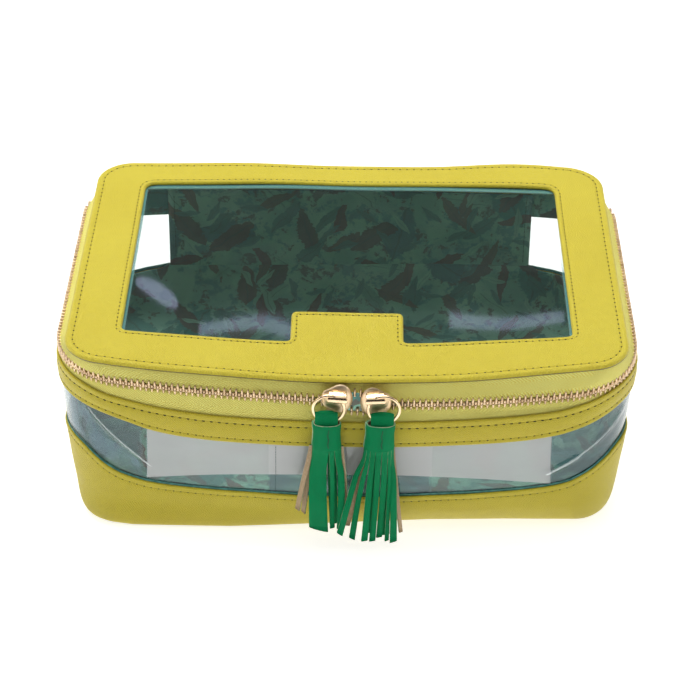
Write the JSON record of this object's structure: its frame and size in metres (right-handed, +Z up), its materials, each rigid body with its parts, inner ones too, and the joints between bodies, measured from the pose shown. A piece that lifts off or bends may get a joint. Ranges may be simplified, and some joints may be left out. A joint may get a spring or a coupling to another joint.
{
  "type": "mahjong case",
  "caption": "Zip-round clear-walled storage case with a windowed lid hinged at the back, metal zip chain, two sliders with ring pulls and leather tassels.",
  "frame": {"origin": "middle of the case's footprint on the surface it stands on", "axes": "+X to the right along the zip's front, -Y towards the front where the sliders meet, +Z up"},
  "size_m": [0.306, 0.2288, 0.1054],
  "materials": {
    "leather": "cross-hatched grain, semi-matte",
    "clear": "clear soft PVC sheet",
    "lining": "printed woven lining",
    "tape": "twill woven tape",
    "board": "greyboard",
    "chain_metal": "polished",
    "gold": "polished light gold",
    "tassel": "fine grain leather"
  },
  "bodies": {
    "tray": {"bottom_panel": "leather", "base_wrap": "leather", "base_board": "board", "base_lining": "lining", "clear_wall": "clear", "wall_lap": "clear", "upper_band": "leather", "band_lining": "lining", "rear_spine": "leather", "spine_board": "board", "spine_lining": "lining", "zip_tape_lower": "tape", "zip_teeth_lower": "chain_metal", "zip_stops_lower": "chain_metal"},
    "lid": {"lid_frame": "leather", "lid_window": "clear", "lid_lining": "lining", "zip_tape_upper": "tape", "zip_teeth_upper": "chain_metal", "zip_stops_upper": "chain_metal", "hinge_flap": "leather"},
    "slider_left": {"slider_body_left": "gold", "slider_crown_left": "gold"},
    "slider_right": {"slider_body_right": "gold", "slider_crown_right": "gold"},
    "pull_ring_left": {"ring_left": "gold"},
    "pull_ring_right": {"ring_right": "gold"},
    "tassel_left": {"tassel_loop_left": "tassel", "tassel_head_left": "tassel", "tassel_fringe_left": "tassel"},
    "tassel_right": {"tassel_loop_right": "tassel", "tassel_head_right": "tassel", "tassel_fringe_right": "tassel"}
  },
  "joints": [
    {"name": "lid_hinge", "type": "hinge", "parent": "tray", "child": "lid", "pos_m": [0, 0.1066, 0.0893], "axis": [-1, 0, 0], "range_deg": [0, 180]},
    {"name": "slider_left_run", "type": "hinge", "parent": "tray", "child": "slider_left", "pos_m": [0, 0.4662, 0.089], "axis": [0, 0, -1], "range_deg": [0, 7.5]},
    {"name": "slider_right_run", "type": "hinge", "parent": "tray", "child": "slider_right", "pos_m": [0, 0.4662, 0.089], "axis": [0, 0, 1], "range_deg": [0, 7.5]},
    {"name": "ring_left_swing", "type": "hinge", "parent": "slider_left", "child": "pull_ring_left", "pos_m": [-0.00511, -0.11647, 0.09616], "axis": [-1, -0.0094, 0], "range_deg": [0, 45]},
    {"name": "ring_right_swing", "type": "hinge", "parent": "slider_right", "child": "pull_ring_right", "pos_m": [0.01601, -0.11628, 0.09616], "axis": [-1, -0.0094, 0], "range_deg": [0, 45]},
    {"name": "tassel_left_swing", "type": "hinge", "parent": "pull_ring_left", "child": "tassel_left", "pos_m": [-0.00845, -0.1165, 0.085], "axis": [-1, -0.0094, 0], "range_deg": [0, 15]},
    {"name": "tassel_right_swing", "type": "hinge", "parent": "pull_ring_right", "child": "tassel_right", "pos_m": [0.01935, -0.11624, 0.085], "axis": [-1, -0.0094, 0], "range_deg": [0, 15]}
  ]
}
